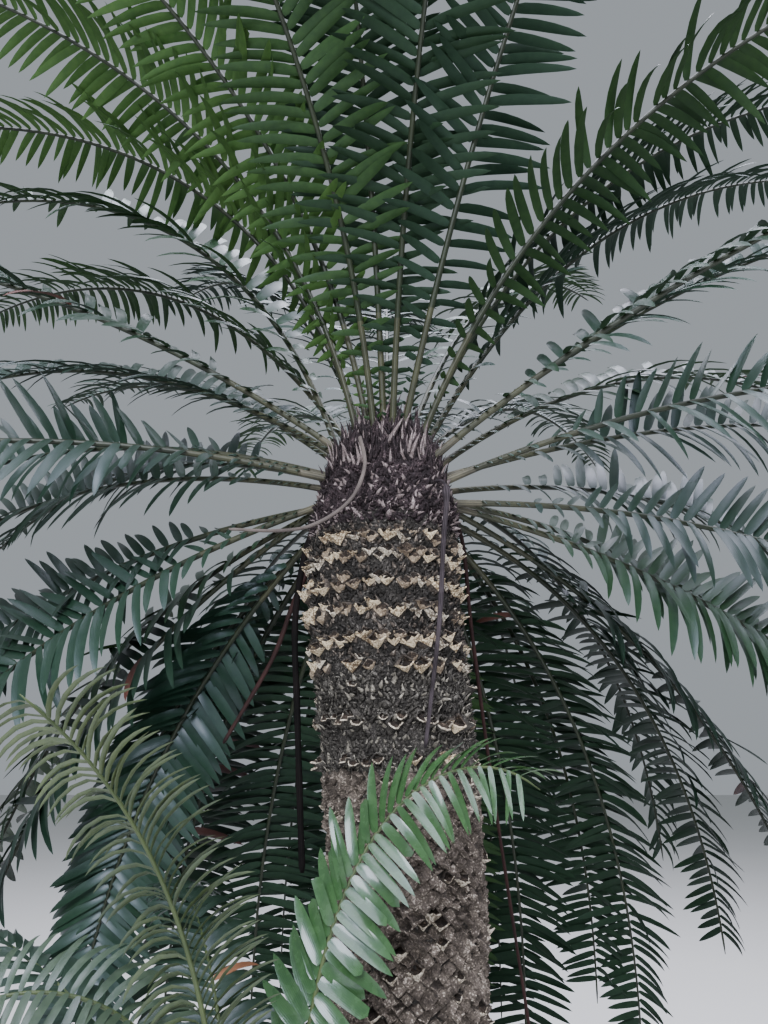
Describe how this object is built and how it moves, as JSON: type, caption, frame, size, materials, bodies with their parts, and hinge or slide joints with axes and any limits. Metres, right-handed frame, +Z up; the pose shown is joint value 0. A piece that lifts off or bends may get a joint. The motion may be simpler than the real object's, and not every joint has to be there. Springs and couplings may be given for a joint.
{
  "type": "natal giant cycad",
  "caption": "Old natal giant cycad: a scaly leaning trunk, a shaggy crown of long arching fronds, hanging dead stalks and a young sucker at its foot.",
  "frame": {"origin": "on the ground, under the middle of the trunk's flat foot", "axes": "+Z up; the open side of the crown and the sucker face -Y, and +X is to the right seen from there"},
  "size_m": [4.4519, 3.7749, 4.11],
  "materials": {
    "bark": "rough, in diamond leaf bases",
    "bud_scales": "dry, shaggy scales",
    "dead_stalk": "dry, dull",
    "frond": "leathery, glossy above",
    "young_frond": "leathery, glossy above"
  },
  "bodies": {
    "root": {"crown_bud": "bud_scales", "dead_stalk_bent": "dead_stalk", "dead_stalk_front": "dead_stalk", "dead_stalk_left": "dead_stalk", "dead_stalk_right": "dead_stalk", "dry_stem": "dead_stalk", "frond_arching_01": "frond", "frond_arching_02": "frond", "frond_arching_03": "frond", "frond_arching_04": "frond", "frond_arching_05": "frond", "frond_arching_06": "frond", "frond_arching_07": "frond", "frond_arching_08": "frond", "frond_arching_09": "frond", "frond_arching_10": "frond", "frond_arching_11": "frond", "frond_hanging_01": "frond", "frond_hanging_02": "frond", "frond_hanging_03": "frond", "frond_hanging_04": "frond", "frond_hanging_05": "frond", "frond_hanging_06": "frond", "frond_hanging_07": "frond", "frond_hanging_08": "frond", "frond_hanging_09": "frond", "frond_hanging_10": "frond", "frond_hanging_11": "frond", "frond_spreading_01": "frond", "frond_spreading_02": "frond", "frond_spreading_03": "frond", "frond_spreading_04": "frond", "frond_spreading_05": "frond", "frond_spreading_06": "frond", "frond_spreading_07": "frond", "frond_spreading_08": "frond", "frond_spreading_09": "frond", "frond_spreading_10": "frond", "frond_upright_01": "frond", "frond_upright_02": "frond", "frond_upright_03": "frond", "frond_upright_04": "frond", "frond_upright_05": "frond", "frond_upright_06": "frond", "frond_upright_07": "frond", "frond_upright_08": "frond", "frond_upright_09": "frond", "frond_upright_10": "frond", "frond_upright_11": "frond", "frond_upright_12": "frond", "frond_upright_13": "frond", "frond_upright_14": "frond", "sucker_frond_1": "young_frond", "sucker_frond_2": "young_frond", "sucker_frond_3": "young_frond", "sucker_frond_4": "young_frond", "sucker_frond_5": "young_frond", "sucker_stem": "bark", "trunk": "bark"}
  },
  "joints": []
}
